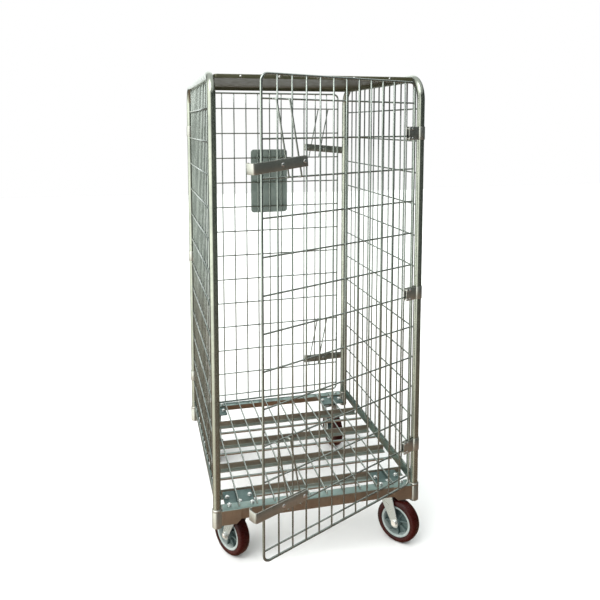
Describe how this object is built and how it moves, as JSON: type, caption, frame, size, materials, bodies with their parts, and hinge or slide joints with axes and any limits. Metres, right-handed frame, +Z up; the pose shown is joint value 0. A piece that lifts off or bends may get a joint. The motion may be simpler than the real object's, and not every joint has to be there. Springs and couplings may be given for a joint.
{
  "type": "roll cage container",
  "caption": "Tall wire-mesh roll cage on swivel casters, with tube side frames, a roof panel, a mesh deck and mesh doors front and rear held by lift-up latches.",
  "frame": {"origin": "on the floor, midway between the four posts", "axes": "+X to the right, +Y to the rear, +Z up; the front door hangs on the front right post"},
  "size_m": [0.7591, 1.2715, 1.7],
  "materials": {
    "zinc_tube": "bright zinc-plated tube",
    "zinc_wire": "bright zinc-plated wire",
    "zinc_strip": "zinc-plated strip",
    "zinc_section": "zinc-plated rolled section",
    "zinc_pressing": "bright zinc-plated pressing",
    "galvanised_plate": "dull galvanised plate",
    "rivet": "zinc-plated rivet",
    "roof_sheet": "satin sheet",
    "holder_sheet": "satin moulding",
    "wheel_core": "satin moulded nylon",
    "tread": "satin polyurethane tread"
  },
  "bodies": {
    "cage": {"caster_bolts": "zinc_pressing", "caster_kingpins": "zinc_pressing", "caster_top_plates": "galvanised_plate", "corner_gussets": "zinc_section", "corner_plates": "galvanised_plate", "deck_cross_bars": "zinc_section", "deck_tie_rods": "zinc_section", "deck_wires": "zinc_wire", "front_beam": "zinc_section", "left_side_frame": "zinc_tube", "left_side_rail": "zinc_section", "left_side_rows": "zinc_wire", "left_side_uprights": "zinc_wire", "post_sockets": "zinc_tube", "rear_beam": "zinc_section", "right_side_frame": "zinc_tube", "right_side_rail": "zinc_section", "right_side_rows": "zinc_wire", "right_side_uprights": "zinc_wire", "roof_panel": "roof_sheet", "roof_rivets": "rivet"},
    "front_door": {"front_door_frame": "zinc_wire", "front_door_guide_rods": "zinc_wire", "front_door_hinge_rivets": "rivet", "front_door_hinge_straps": "zinc_strip", "front_door_rows": "zinc_wire", "front_door_uprights": "zinc_wire"},
    "front_upper_latch": {"front_upper_latch": "zinc_strip", "front_upper_latch_rivets": "rivet"},
    "front_lower_latch": {"front_lower_latch": "zinc_strip", "front_lower_latch_rivets": "rivet"},
    "rear_door": {"document_holder": "holder_sheet", "rear_door_frame": "zinc_wire", "rear_door_guide_rods": "zinc_wire", "rear_door_hinge_rivets": "rivet", "rear_door_hinge_straps": "zinc_strip", "rear_door_rows": "zinc_wire", "rear_door_uprights": "zinc_wire"},
    "rear_upper_latch": {"rear_upper_latch": "zinc_strip", "rear_upper_latch_rivets": "rivet"},
    "rear_lower_latch": {"rear_lower_latch": "zinc_strip", "rear_lower_latch_rivets": "rivet"},
    "caster_front_right_fork": {"caster_front_right_axle": "zinc_pressing", "caster_front_right_fork": "zinc_pressing"},
    "caster_front_right_wheel": {"caster_front_right_tyre": "tread", "caster_front_right_wheel_core": "wheel_core"},
    "caster_front_left_fork": {"caster_front_left_axle": "zinc_pressing", "caster_front_left_fork": "zinc_pressing"},
    "caster_front_left_wheel": {"caster_front_left_tyre": "tread", "caster_front_left_wheel_core": "wheel_core"},
    "caster_rear_right_fork": {"caster_rear_right_axle": "zinc_pressing", "caster_rear_right_fork": "zinc_pressing"},
    "caster_rear_right_wheel": {"caster_rear_right_tyre": "tread", "caster_rear_right_wheel_core": "wheel_core"},
    "caster_rear_left_fork": {"caster_rear_left_axle": "zinc_pressing", "caster_rear_left_fork": "zinc_pressing"},
    "caster_rear_left_wheel": {"caster_rear_left_tyre": "tread", "caster_rear_left_wheel_core": "wheel_core"}
  },
  "joints": [
    {"name": "front_door_hinge", "type": "hinge", "parent": "cage", "child": "front_door", "pos_m": [0.361, -0.43, 0.9], "axis": [0, 0, 1], "range_deg": [-24.4, 206.5]},
    {"name": "rear_door_hinge", "type": "hinge", "parent": "cage", "child": "rear_door", "pos_m": [-0.361, 0.43, 0.9], "axis": [0, 0, 1], "range_deg": [0, 231]},
    {"name": "front_upper_latch_slide", "type": "slide", "parent": "front_door", "child": "front_upper_latch", "axis": [-0.1772, -0.0914, 0.9799], "range_m": [0, 0.1]},
    {"name": "front_lower_latch_slide", "type": "slide", "parent": "front_door", "child": "front_lower_latch", "axis": [-0.1772, -0.0914, 0.9799], "range_m": [0, 0.1]},
    {"name": "rear_upper_latch_slide", "type": "slide", "parent": "rear_door", "child": "rear_upper_latch", "axis": [0.1991, 0.0101, 0.9799], "range_m": [0, 0.1]},
    {"name": "rear_lower_latch_slide", "type": "slide", "parent": "rear_door", "child": "rear_lower_latch", "axis": [0.1991, 0.0101, 0.9799], "range_m": [0, 0.1]},
    {"name": "caster_front_right_swivel", "type": "hinge", "parent": "cage", "child": "caster_front_right_fork", "pos_m": [0.277, -0.388, 0.19], "axis": [0, 0, 1], "continuous": true},
    {"name": "caster_front_right_roll", "type": "hinge", "parent": "caster_front_right_fork", "child": "caster_front_right_wheel", "pos_m": [0.30532, -0.42297, 0.08], "axis": [0.7771, 0.6293, 0], "continuous": true},
    {"name": "caster_front_left_swivel", "type": "hinge", "parent": "cage", "child": "caster_front_left_fork", "pos_m": [-0.277, -0.388, 0.19], "axis": [0, 0, 1], "continuous": true},
    {"name": "caster_front_left_roll", "type": "hinge", "parent": "caster_front_left_fork", "child": "caster_front_left_wheel", "pos_m": [-0.30051, -0.34963, 0.08], "axis": [-0.8526, -0.5225, 0], "continuous": true},
    {"name": "caster_rear_right_swivel", "type": "hinge", "parent": "cage", "child": "caster_rear_right_fork", "pos_m": [0.277, 0.388, 0.19], "axis": [0, 0, 1], "continuous": true},
    {"name": "caster_rear_right_roll", "type": "hinge", "parent": "caster_rear_right_fork", "child": "caster_rear_right_wheel", "pos_m": [0.28248, 0.34334, 0.08], "axis": [0.9925, 0.1219, 0], "continuous": true},
    {"name": "caster_rear_left_swivel", "type": "hinge", "parent": "cage", "child": "caster_rear_left_fork", "pos_m": [-0.277, 0.388, 0.19], "axis": [0, 0, 1], "continuous": true},
    {"name": "caster_rear_left_roll", "type": "hinge", "parent": "caster_rear_left_fork", "child": "caster_rear_left_wheel", "pos_m": [-0.28092, 0.34317, 0.08], "axis": [0.9962, -0.0872, 0], "continuous": true}
  ]
}
